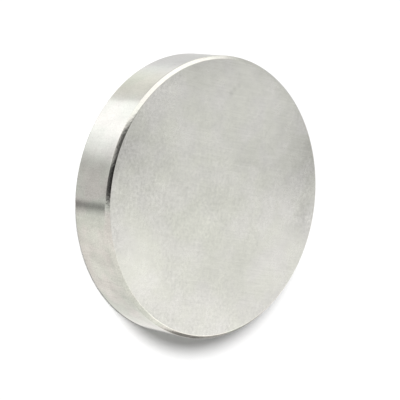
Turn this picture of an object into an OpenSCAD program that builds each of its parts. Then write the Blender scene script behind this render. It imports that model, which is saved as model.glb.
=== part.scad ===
// Disc magnet: one solid nickel-plated disc with flat faces, a straight rim and a tumbled
// chamfer round both faces. It lies on one face: +Z is the disc's axis, z = 0 its lower face.
// All lengths are in millimetres.

/* [Disc] */
// Diameter across the straight rim
diameter = 55; // [20:0.5:120]
// Thickness, from face to face
thickness = 10; // [4:0.5:40]

/* [Edges] */
// Leg of the 45 degree chamfer, the same on the face as on the rim
chamfer_leg = 0.65; // [0.3:0.05:1.5]
// Radius of the two corners of each chamfer, worn round by tumbling
corner_radius = 0.2; // [0.05:0.05:0.3]

/* [Hidden] */
$fn = 180;
rim_radius = diameter / 2;
// a corner turns by 45 degrees, so its arc starts this far from where the sharp corner would be
tangent_length = corner_radius * tan(45 / 2);
// the same length along the chamfer, as its share in R and in Z
tangent_step = tangent_length * cos(45);
// the whole worked edge, measured in from the face's or the rim's sharp corner
edge_reach = chamfer_leg + tangent_length;

// Metal left inside the edge zone of one corner, in a section plane where the sharp corner of
// face and rim is the origin and the metal lies towards -X and +Y: the chamfer's flat, with an
// arc at each end that runs smoothly into the face and into the rim.
module tumbled_corner() {
    polygon([
        [-edge_reach, edge_reach],
        [-edge_reach, corner_radius],
        [-chamfer_leg + tangent_step, tangent_step],
        [-tangent_step, chamfer_leg - tangent_step],
        [-corner_radius, edge_reach],
    ]);
    translate([-edge_reach, corner_radius])
        circle(corner_radius);
    translate([-corner_radius, edge_reach])
        circle(corner_radius);
}

// What grinding and tumbling take off that sharp corner
module edge_break() {
    difference() {
        translate([-edge_reach, 0])
            square(edge_reach);
        tumbled_corner();
    }
}

// Half section of the disc, X from the axis and Y up through the thickness
module half_section() {
    difference() {
        square([rim_radius, thickness]);
        translate([rim_radius, 0])
            edge_break();
        translate([rim_radius, thickness])
            mirror([0, 1])
                edge_break();
    }
}

module magnet_disc() {
    color([0.80, 0.80, 0.77])
        rotate_extrude()
            half_section();
}

magnet_disc();
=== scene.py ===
import math

import bmesh
import bpy
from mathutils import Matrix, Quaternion, Vector


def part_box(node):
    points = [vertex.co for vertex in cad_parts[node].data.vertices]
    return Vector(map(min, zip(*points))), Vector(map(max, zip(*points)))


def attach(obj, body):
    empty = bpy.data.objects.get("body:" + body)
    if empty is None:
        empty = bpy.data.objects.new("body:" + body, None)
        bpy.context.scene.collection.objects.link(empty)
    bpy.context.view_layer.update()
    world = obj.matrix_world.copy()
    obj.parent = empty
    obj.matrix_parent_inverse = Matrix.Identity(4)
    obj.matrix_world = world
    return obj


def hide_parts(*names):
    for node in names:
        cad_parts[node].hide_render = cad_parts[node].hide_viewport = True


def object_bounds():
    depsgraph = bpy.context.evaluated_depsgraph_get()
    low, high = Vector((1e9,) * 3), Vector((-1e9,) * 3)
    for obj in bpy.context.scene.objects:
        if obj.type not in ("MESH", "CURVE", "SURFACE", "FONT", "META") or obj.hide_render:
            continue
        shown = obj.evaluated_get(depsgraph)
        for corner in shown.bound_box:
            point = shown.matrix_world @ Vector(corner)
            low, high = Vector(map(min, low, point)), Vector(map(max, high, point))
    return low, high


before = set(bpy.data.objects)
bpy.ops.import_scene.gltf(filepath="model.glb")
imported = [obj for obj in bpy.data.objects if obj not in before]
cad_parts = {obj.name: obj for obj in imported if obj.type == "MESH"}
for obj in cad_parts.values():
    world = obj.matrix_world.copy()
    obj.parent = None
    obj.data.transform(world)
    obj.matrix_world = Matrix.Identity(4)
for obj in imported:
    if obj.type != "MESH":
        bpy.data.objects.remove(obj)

CAD_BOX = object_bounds()
NODE = "magnet_disc"
LOWEST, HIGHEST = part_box(NODE)

# ---------------------------------------------------------------- the disc, in metres and degrees
MM = 0.001
RADIUS = (HIGHEST.x - LOWEST.x) / 2
THICKNESS = HIGHEST.z - LOWEST.z
CHAMFER_LEG = 0.65 * MM
CORNER_RADIUS = 0.2 * MM
CORNER_TURN = 45           # between a face and its chamfer, and between that chamfer and the rim
RIM_STEPS = 512            # facets round the rim
CORNER_STEPS = 4           # facets across the round of one chamfer corner
ON_RING = 1e-3 * MM        # how near to a ring a point counts as on it
SAME_POINT = 1e-5 * MM     # how near two points are merged
FACE_FINISH = 0            # the disc's material slots, in the order that they are filled
EDGE_FINISH = 1

# ---------------------------------------------------------------- camera, in metres and degrees
CAMERA_ELEVATION = 47.4
CAMERA_DISTANCE = 351 * MM
CAMERA_ROLL = 98.76        # turned on its side, so that the shown rim lies to the left
CAMERA_LENS = 162          # in mm, as the sensor is
CAMERA_SENSOR = 36
CAMERA_NEAREST = 10 * MM   # anything nearer than this isn't shown
AIM_ASIDE = 0.86 * MM      # how far beside the disc's centre the camera looks, along +X

# ---------------------------------------------------------------- floor and light
FLOOR_REACH = 3.0                            # from the disc to each side of the floor, in metres
PAPER = (0.9, 0.9, 0.9, 1)
PAPER_GLOW = 1.1                             # the strength of the paper's own light
PAPER_GLOW_SHARE = 0.08                      # how much of what the paper gives is that light
STUDIO_UP = Vector((-0.979, -0.203, 0.0))    # the side of the disc that the studio's ceiling is on
KEY_FROM = Vector((-0.42, -0.7, 1.0))        # the side that the key light comes from
KEY_WIDTH = 18                               # degrees across
KEY_LEVEL = 0.97                             # what it adds to a white floor, where 1 is white
FILL_LEVEL = 0.18                            # what the studio's walls add there
WHITE = (1, 1, 1, 1)
WARM_WHITE = (1, 0.993, 0.972, 1)
COOL_WHITE = (0.985, 0.995, 1.025, 1)
YELLOW_WHITE = (0.99, 1.0, 0.955, 1)

# ---------------------------------------------------------------- finishes, in millimetres
# Each pair of colours is nickel where it is yellower, and where it is pinker.
SATIN_COLOURS = ((0.607, 0.610, 0.555, 1), (0.617, 0.609, 0.584, 1))
SMOOTH_COLOURS = ((0.598, 0.609, 0.550, 1), (0.630, 0.603, 0.564, 1))
SATIN_RELIEF = 0.0012                 # how high the bump stands
SMOOTH_RELIEF = 0.001
BRUSH_FINENESS = (3.3, 0.16, 1)       # the faces' brush lines are long along Y and fine across it
BRUSH_NOISE_TURN = -3                 # degrees that their noise is turned by; the lines stay along Y
RIM_MARK_FINENESS = (1.6, 1.6, 0.25)  # the rim's marks are longest across the rim, along Z
WORN_TOWARDS = (0.55, -0.8, 0)        # the side of the faces that is worn more
EDGE_WEAR_START = 4.5                 # how far in from the rim the faces' wear begins
EDGE_WEAR_FULL = 1.0                  # and how far in it is full
CHAMFER_FADE = 0.05                   # how far the chamfers' nicks fade to each side of where they begin

# One broad place on the faces, and one on the rim: X, Y, reach along X and reach along Y.
YELLOWER_FACE = (2, -6, 34, 34)
WARMER_RIM = (14, -24, 10, 10)

# Where the faces' colour is darker, partly from the plating's own patches and marks and partly as painted
# shade and painted reflection: X, Y, reach along X, reach along Y, and how much. Below 0 is brighter.
TONE_AND_SHADE_PLACES = (
    # broad patches: painted shade and painted reflected light, darker along the +Y edge and at -X -Y,
    # brighter toward +X -Y, over the plating's own patchiness
    (-12, 22, 12, 12, 0.18),
    (-4, 25, 12, 13, 0.14),
    (-9, -25, 14, 16, 0.14),
    (-26, -9, 10, 13, 0.08),
    (14, -20, 13, 10, -0.09),
    (-17, 3, 12, 13, -0.09),
    (-6, -6, 11, 9, -0.055),
    (-4.5, 14, 8, 8, 0.065),
    (17, -14.5, 8, 7, -0.06),
    (4, -17, 7, 7, 0.06),
    (5, -3, 6, 7, -0.05),
    (-17, 15, 8, 8, 0.03),
    # small patches
    (0, -1, 4, 5, 0.04),
    (-7.6, 6, 0.9, 6, 0.05),
    (1, 23.5, 4, 3, 0.05),
    (1.3, 26.0, 3.2, 2.0, -0.13),
    (-2.6, 26.2, 3.0, 2.0, -0.06),
    (-13.5, 23.2, 5, 2.4, 0.09),
    (-10, 25.0, 5, 2.2, 0.10),
    # scuffs, each a short row of spots
    (-1.6, 23.0, 1.3, 1.1, 0.08),
    (-0.5, 23.4, 1.2, 1.1, 0.09),
    (0.7, 24.0, 1.2, 1.1, 0.09),
    (-20.4, -0.7, 1.0, 0.9, 0.13),
    (-21.3, 0.1, 0.9, 0.9, 0.11),
    (-22.2, 1.0, 0.9, 0.8, 0.10),
    (-2.2, -26.2, 2.4, 0.9, 0.12),
    (-0.6, -25.0, 1.5, 0.7, 0.08),
)

# Where the faces are flecked more, in the same way. Below 0 is smoother.
FLECKED_PLACES = (
    (-1, -20, 12, 11, 1.3),
    (-6, 23, 11, 6, 1.1),
    (1, 23, 6, 5, 1.2),
    (0, 2, 14, 23, 1.1),
    (-24, -2, 14, 24, -1.1),
    (16, -19, 15, 12, -1.2),
    (6, 17, 7, 6, -1.0),
)


# ---------------------------------------------------------------- shader helpers
class Value:
    """An output socket that can stand in a Python expression."""

    def __init__(self, shader, socket):
        self.shader = shader
        self.socket = socket

    def math(self, operation, *others):
        return self.shader.node("Math", {"operation": operation}, dict(enumerate((self, *others))))

    def __add__(self, other):
        return self.math("ADD", other)

    __radd__ = __add__

    def __mul__(self, other):
        return self.math("MULTIPLY", other)

    __rmul__ = __mul__

    def __sub__(self, other):
        return self.math("SUBTRACT", other)

    def __rsub__(self, other):
        return self.shader.node("Math", {"operation": "SUBTRACT"}, {0: other, 1: self})

    def step(self, low, high):
        """0 below low, 1 above high, smooth between; with low above high it falls."""
        inputs = {"Value": self, "From Min": low, "From Max": high}
        return self.shader.node("MapRange", {"interpolation_type": "SMOOTHSTEP"}, inputs)


class Shader:
    """The node tree of a material or world, emptied."""

    def __init__(self, owner):
        owner.use_nodes = True
        self.tree = owner.node_tree
        self.tree.nodes.clear()

    def node(self, kind, settings=None, inputs=None, output=0):
        """Any node: its settings come first, then the values or links of its sockets."""
        made = self.tree.nodes.new("ShaderNode" + kind)
        for name, value in (settings or {}).items():
            setattr(made, name, value)
        for name, value in (inputs or {}).items():
            if isinstance(value, Value):
                self.tree.links.new(value.socket, made.inputs[name])
            else:
                made.inputs[name].default_value = value
        return Value(self, made.outputs[output]) if made.outputs else made

    def mix(self, factor, a, b):
        """Colours a and b, mixed."""
        inputs = {0: factor, 6: a, 7: b}
        return self.node("Mix", {"data_type": "RGBA"}, inputs, output=2)

    def brightened(self, colour, factor):
        """The colour times that factor."""
        return self.node("VectorMath", {"operation": "SCALE"}, {0: colour, 3: factor})

    def dot(self, vector, direction):
        inputs = {0: vector, 1: tuple(direction)}
        return self.node("VectorMath", {"operation": "DOT_PRODUCT"}, inputs, output=1)

    def length(self, vector):
        return self.node("VectorMath", {"operation": "LENGTH"}, {0: vector}, output=1)

    def place(self):
        """The place on the piece, in mm."""
        where = self.node("TexCoord", output="Object")
        return self.stretched(where, (1 / MM, 1 / MM, 1 / MM))

    def stretched(self, vector, scale, turn=0):
        """Scaled along each axis, then turned about Z by those degrees."""
        inputs = {"Vector": vector, "Rotation": (0, 0, math.radians(turn)), "Scale": scale}
        return self.node("Mapping", {}, inputs)

    def noise(self, vector, scale, detail, roughness=0.5, distortion=0.0):
        """Noise about 0; a larger scale is finer."""
        inputs = {
            "Vector": vector,
            "Scale": scale,
            "Detail": detail,
            "Roughness": roughness,
            "Distortion": distortion,
        }
        return self.node("TexNoise", {}, inputs) - 0.5

    def blotch(self, place, x, y, reach_x, reach_y):
        """1 at that place on the face, fading to 0 at its reach along X and Y, in mm."""
        inputs = {
            "Vector": place,
            "Location": (-x / reach_x, -y / reach_y, 0),
            "Scale": (1 / reach_x, 1 / reach_y, 0),
        }
        return self.length(self.node("Mapping", {}, inputs)).step(1, 0)

    def blotches(self, place, table):
        """The blotches of a table, each times its amount, added up."""
        total = 0.0
        for *blotch, amount in table:
            total = self.blotch(place, *blotch) * amount + total
        return total

    def metal(self, colour, roughness, height, relief):
        """Ends the tree: bare metal, with a bump of that relief in mm."""
        bump = self.node("Bump", {}, {"Strength": 1.0, "Distance": relief * MM, "Height": height})
        inputs = {"Base Color": colour, "Metallic": 1.0, "Roughness": roughness, "Normal": bump}
        surface = self.node("BsdfPrincipled", {}, inputs)
        self.node("OutputMaterial", {}, {"Surface": surface})


# ---------------------------------------------------------------- the disc
def ring_edges(bm, z, radius):
    """Edges of the ring at that height and radius."""

    def on_ring(vert):
        return abs(vert.co.z - z) < ON_RING and abs(vert.co.xy.length - radius) < ON_RING

    return [edge for edge in bm.edges if all(on_ring(v) for v in edge.verts)]


def bevel(bm, edges, offset, steps):
    bmesh.ops.bevel(
        bm,
        geom=edges,
        offset=offset,
        offset_type="OFFSET",
        segments=steps,
        profile=0.5,
        affect="EDGES",
        material=-1,
    )


def sharp_disc():
    """A closed disc that stands on its lower face, before its edges are worked."""
    bm = bmesh.new()
    bmesh.ops.create_circle(bm, cap_ends=True, radius=RADIUS, segments=RIM_STEPS)
    extruded = bmesh.ops.extrude_face_region(bm, geom=bm.faces[:])["geom"]
    verts = [item for item in extruded if isinstance(item, bmesh.types.BMVert)]
    bmesh.ops.translate(bm, verts=verts, vec=(0, 0, THICKNESS))
    bmesh.ops.recalc_face_normals(bm, faces=bm.faces)
    return bm


def work_edges(bm):
    """Cuts a chamfer round each face, then rounds the two corners of each chamfer."""
    bevel(bm, ring_edges(bm, 0, RADIUS) + ring_edges(bm, THICKNESS, RADIUS), CHAMFER_LEG, 1)
    corners = []
    for face_z, rim_z in ((0, CHAMFER_LEG), (THICKNESS, THICKNESS - CHAMFER_LEG)):
        corners += ring_edges(bm, face_z, RADIUS - CHAMFER_LEG) + ring_edges(bm, rim_z, RADIUS)
    tangent = CORNER_RADIUS * math.tan(math.radians(CORNER_TURN / 2))    # from the corner to its arc's end
    bevel(bm, corners, tangent, CORNER_STEPS)
    bmesh.ops.remove_doubles(bm, verts=bm.verts, dist=SAME_POINT)
    bmesh.ops.recalc_face_normals(bm, faces=bm.faces)


def make_disc():
    bm = sharp_disc()
    work_edges(bm)
    for face in bm.faces:
        is_flat_face = len(face.verts) > 4   # all the other facets are quads
        face.smooth = True
        face.material_index = FACE_FINISH if is_flat_face else EDGE_FINISH
    mesh = bpy.data.meshes.new("plated_disc")
    bm.to_mesh(mesh)
    bm.free()
    disc = bpy.data.objects.new("plated_disc", mesh)
    bpy.context.scene.collection.objects.link(disc)
    weighted = disc.modifiers.new("even_normals", "WEIGHTED_NORMAL")
    weighted.mode = "FACE_AREA"
    weighted.weight = 100                    # the most, so that the flat faces shade flat up to their edge
    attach(disc, "root")
    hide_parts(NODE)
    return disc


# ---------------------------------------------------------------- materials
def rim_wear(shader, place):
    """Wear along the edge of a face, in stretches."""
    rim = RADIUS / MM
    from_centre = shader.length(shader.stretched(place, (1, 1, 0)))
    near_rim = from_centre.step(rim - EDGE_WEAR_START, rim - EDGE_WEAR_FULL)
    return near_rim * shader.noise(place, 0.16, 1).step(-0.08, 0.12)


def satin_nickel():
    """The flat faces: satin, cloudy and flecked, with faint brush lines, worn edges, a few scuffs, and
    broad patches of painted shade and painted reflection.
    """
    material = bpy.data.materials.new("satin_nickel")
    shader = Shader(material)
    place = shader.place()
    clouds = shader.noise(place, 0.075, 1)
    mottle = shader.noise(place, 0.45, 1, distortion=0.4)
    clusters = shader.noise(place, 0.11, 1).step(-0.10, 0.12)
    specks = shader.noise(place, 1.1, 0).step(0.08, 0.28) * clusters
    worn = shader.dot(place, WORN_TOWARDS).step(-6, 16)
    edge_wear = rim_wear(shader, place)
    flecked = shader.blotches(place, FLECKED_PLACES)
    freckled = 0.45 + 0.35 * clusters + 0.5 * worn + edge_wear + 0.6 * flecked
    freckles = shader.noise(place, 1.5, 1, 0.6) * freckled
    grain = shader.noise(place, 4.5, 1) * (0.76 + 0.55 * worn + 0.35 * flecked)
    x = shader.node("SeparateXYZ", {}, {0: place}, output="X")
    ruled = x.step(-3, -14)                  # the brush lines are clearer on the -X side
    brushed = shader.stretched(place, BRUSH_FINENESS, BRUSH_NOISE_TURN)
    lines = shader.noise(brushed, 1.0, 2, 0.6) * (1.15 + 0.4 * ruled - 0.4 * clusters - 0.25 * worn)
    tone = 0.24 * clouds + 0.11 * mottle + 0.22 * freckles + 0.13 * grain + 0.155 * lines
    # the broad patches darken and brighten the colour as painted shade and painted reflection, besides the
    # plating's own patches and scuffs
    tone = tone - 0.03 * specks - 0.05 * edge_wear - shader.blotches(place, TONE_AND_SHADE_PLACES)
    yellower = shader.blotch(place, *YELLOWER_FACE)
    hue = 0.42 + 0.65 * shader.noise(place, 0.17, 2).step(-0.15, 0.15) - 0.5 * yellower
    colour = shader.brightened(shader.mix(hue, *SATIN_COLOURS), tone + 1)
    rough = 0.25 + 0.10 * clouds + 0.08 * mottle - 0.04 * lines
    height = 0.4 * lines + 0.3 * grain - 0.25 * specks
    shader.metal(colour, rough, height, SATIN_RELIEF)
    return material


def on_chamfers(shader, place):
    """1 on the chamfers, 0 on the rim between them."""
    middle = THICKNESS / 2 / MM
    chamfer = middle - CHAMFER_LEG / MM
    z = shader.node("SeparateXYZ", {}, {0: place}, output="Z")
    from_middle = (z - middle).math("ABSOLUTE")
    return from_middle.step(chamfer - CHAMFER_FADE, chamfer + CHAMFER_FADE)


def smooth_nickel():
    """The rim and the chamfers: smoother, with a faint bloom of colour and short marks across the rim."""
    material = bpy.data.materials.new("smooth_nickel")
    shader = Shader(material)
    place = shader.place()
    clouds = shader.noise(place, 0.3, 2)
    wide_clouds = shader.noise(place, 0.15, 1)
    marks = shader.noise(shader.stretched(place, RIM_MARK_FINENESS), 1.0, 2, 0.6)
    grain = shader.noise(place, 4.0, 1)
    specks = shader.noise(place, 1.2, 0).step(0.16, 0.30)
    x = shader.node("SeparateXYZ", {}, {0: place}, output="X")
    handled = x.step(-6, 8)                  # the +X side has more clouds and colour,
    marked = x.step(-8, 0)                   # and more contrast
    warmer = shader.blotch(place, *WARMER_RIM)
    tone = 0.22 * clouds + 0.10 * marks + 0.20 * grain + 0.12 * wide_clouds * handled - 0.04 * specks
    tone = tone * (1 + 0.9 * marked) + 0.025 * warmer
    bloom = shader.noise(place, 0.17, 2).step(-0.1, 0.1) - 0.5
    hue = bloom * (0.5 + 0.6 * handled) + 0.5 + 0.5 * warmer
    colour = shader.brightened(shader.mix(hue, *SMOOTH_COLOURS), tone + 1)
    rough = 0.11 + 0.06 * clouds + 0.06 * marks
    nicks = shader.noise(place, 2.0, 1) * on_chamfers(shader, place)
    height = 0.5 * marks + 0.3 * grain + 14 * nicks
    shader.metal(colour, rough, height, SMOOTH_RELIEF)
    return material


# ---------------------------------------------------------------- floor, light and camera
def white_paper():
    material = bpy.data.materials.new("white_paper")
    shader = Shader(material)
    paper = shader.node("BsdfDiffuse", {}, {"Color": PAPER})
    glow = shader.node("Emission", {}, {"Color": WHITE, "Strength": PAPER_GLOW})
    surface = shader.node("MixShader", {}, {0: PAPER_GLOW_SHARE, 1: paper, 2: glow})
    shader.node("OutputMaterial", {}, {"Surface": surface})
    return material


def make_floor():
    bm = bmesh.new()
    bmesh.ops.create_grid(bm, x_segments=1, y_segments=1, size=FLOOR_REACH)
    mesh = bpy.data.meshes.new("white_floor")
    bm.to_mesh(mesh)
    bm.free()
    mesh.materials.append(white_paper())
    floor = bpy.data.objects.new("white_floor", mesh)
    bpy.context.scene.collection.objects.link(floor)
    floor.visible_glossy = False             # the metal mirrors the painted studio there instead


class Studio:
    """The room that the metal mirrors, painted by direction. A level of 1 is white.

    Elevation and bearing are in degrees: elevation is 90 at the ceiling's middle, and bearing is 0 toward
    the camera and 90 to the camera's left. Down is 1 straight below the disc.
    """

    def __init__(self, shader):
        self.shader = shader
        ray = shader.node("TexCoord", output="Generated")
        up = STUDIO_UP.normalized()
        tilt = math.radians(CAMERA_ELEVATION)
        look = Vector((0, math.cos(tilt), -math.sin(tilt)))
        away = (look - look.dot(up) * up).normalized()
        degrees = 180 / math.pi
        aside = shader.dot(ray, up.cross(away))
        self.elevation = shader.dot(ray, up).math("ARCSINE") * degrees
        self.bearing = aside.math("ARCTAN2", shader.dot(ray, -away)) * degrees
        self.down = shader.dot(ray, (0, 0, -1))

    def panel(self, low, high, right, left, soft):
        """1 inside those elevations and bearings, fading out over soft degrees."""
        tall = self.elevation.step(low - soft, low + soft) * self.elevation.step(high + soft, high - soft)
        wide = self.bearing.step(right - soft, right + soft) * self.bearing.step(left + soft, left - soft)
        return tall * wide

    def walls(self):
        right_wall = 0.06 * self.bearing.step(-45, -60) * self.bearing.step(-125, -110)
        return 0.78 + right_wall + 0.22 * self.elevation.step(-3, -14)

    def ceiling(self):
        shaded = self.elevation.step(42, 54) * self.down.step(-0.15, 0.1)
        top_gap = 0.9 * self.elevation.step(66, 74) * self.down.step(-0.24, -0.12)
        light = 0.9 * self.elevation.step(31, 52) * (1 - shaded)
        return light * (1 - 0.3 * self.down.step(0.4, 0.7)) * (1 - top_gap)

    def left_box(self):
        light = (0.45 + 0.35 * self.down.step(0.5, 0.68)) * self.elevation.step(13, 33)
        light = light * self.bearing.step(136, 130) * self.bearing.step(28, 40)
        return light * (1 - self.elevation.step(32, 54))

    def seam(self):
        """A thin dark line low on the left wall."""
        dark = 0.73 * self.elevation.step(-12.4, -4) * self.elevation.step(-3, -7)
        return dark * self.bearing.step(78, 82) * self.bearing.step(124, 112)

    def opening(self):
        """What is left of the light where the wall behind the camera is open."""
        wide = 1 - 0.83 * self.panel(-3, 43, -40, 8, 8)
        return wide * (1 - 0.8 * self.panel(-2, 20, -40, 18, 4))

    def far_corner(self):
        """What is left of the light low in the far corner."""
        corner = self.elevation.step(-27, -9) * self.elevation.step(-3, -6) * self.bearing.step(172, 176)
        return 1 - 0.85 * corner

    def level(self):
        """The light from each direction."""
        far_glow = 0.42 * self.panel(27, 38, 151, 172, 7) + 0.08 * self.panel(16, 28, 168, 186, 4)
        low_glow = 0.75 * self.panel(0, 24, 126, 164, 4) + 0.4 * self.panel(-25, -13, 116, 166, 5)
        corner_glow = 0.7 * self.panel(46, 66, 50, 112, 6) * self.down.step(-0.02, 0.1)
        low_wall = 0.1 * self.panel(12, 18, 80, 115, 4)
        far_wall = 0.19 * self.panel(-10, 8, -176, -157, 3)
        foot = 0.5 * self.panel(-60, -24, -172, -140, 5) + 0.7 * self.panel(-78, -56, -150, -110, 9)
        right_floor = 0.8 * self.panel(-45, -15, -120, -55, 7)
        low_side = 0.08 * self.elevation.step(-20, -34) * self.down.step(-0.1, -0.3)
        light = self.walls() + self.ceiling() + self.left_box() + far_glow
        light = light - self.seam() - low_wall - far_wall - foot + right_floor + low_side
        light = light * self.opening() * self.far_corner() + low_glow + corner_glow
        return light * (1 - 0.65 * self.down.step(0.86, 0.98))       # dimmer straight below the disc

    def colour(self, amount):
        """White, tinted by that much where the room is warmer, cooler or yellower."""
        tints = (
            (self.elevation.step(-6, -16), WARM_WHITE),
            (self.elevation.step(10, 26) * self.bearing.step(60, 90), COOL_WHITE),
            (self.panel(28, 46, 136, 162, 8), YELLOW_WHITE),
        )
        colour = WHITE
        for area, tint in tints:
            colour = self.shader.mix(area * amount, colour, tint)
        return colour


def make_world():
    """The painted studio for the metal, plain white for the camera, and a dim fill light for the floor."""
    world = bpy.data.worlds.new("studio")
    bpy.context.scene.world = world
    shader = Shader(world)
    studio = Studio(shader)
    camera_ray = shader.node("LightPath", output="Is Camera Ray")
    glossy_ray = shader.node("LightPath", output="Is Glossy Ray")
    through_ray = shader.node("LightPath", output="Is Transmission Ray")
    seen = camera_ray.math("MAXIMUM", glossy_ray).math("MAXIMUM", through_ray)
    strength = (FILL_LEVEL + (1 - FILL_LEVEL) * seen) * (1 + glossy_ray * (studio.level() - 1))
    colour = studio.colour(glossy_ray)
    surface = shader.node("Background", {}, {"Color": colour, "Strength": strength})
    shader.node("OutputWorld", {}, {"Surface": surface})


def make_lamp():
    light = bpy.data.lights.new("key_light", "SUN")
    light.angle = math.radians(KEY_WIDTH)
    towards = KEY_FROM.normalized()
    light.energy = KEY_LEVEL * math.pi / towards.z
    lamp = bpy.data.objects.new("key_light", light)
    lamp.rotation_mode = "QUATERNION"
    lamp.rotation_quaternion = towards.to_track_quat("Z", "Y")
    lamp.visible_glossy = False
    bpy.context.scene.collection.objects.link(lamp)


def make_camera():
    camera = bpy.data.cameras.new("camera")
    camera.lens = CAMERA_LENS
    camera.sensor_width = CAMERA_SENSOR
    camera.clip_start = CAMERA_NEAREST
    holder = bpy.data.objects.new("camera", camera)
    centre = (CAD_BOX[0] + CAD_BOX[1]) / 2
    elevation = math.radians(CAMERA_ELEVATION)
    back = Vector((0, -math.cos(elevation), math.sin(elevation)))
    holder.location = centre + CAMERA_DISTANCE * back
    look = centre + Vector((AIM_ASIDE, 0, 0)) - holder.location
    level = look.to_track_quat("-Z", "Y")
    holder.rotation_mode = "QUATERNION"
    holder.rotation_quaternion = level @ Quaternion((0, 0, 1), math.radians(CAMERA_ROLL))
    bpy.context.scene.collection.objects.link(holder)
    bpy.context.scene.camera = holder


disc = make_disc()
disc.data.materials.append(satin_nickel())
disc.data.materials.append(smooth_nickel())
make_floor()
make_world()
make_lamp()
make_camera()
bpy.context.scene.view_settings.view_transform = "Standard"
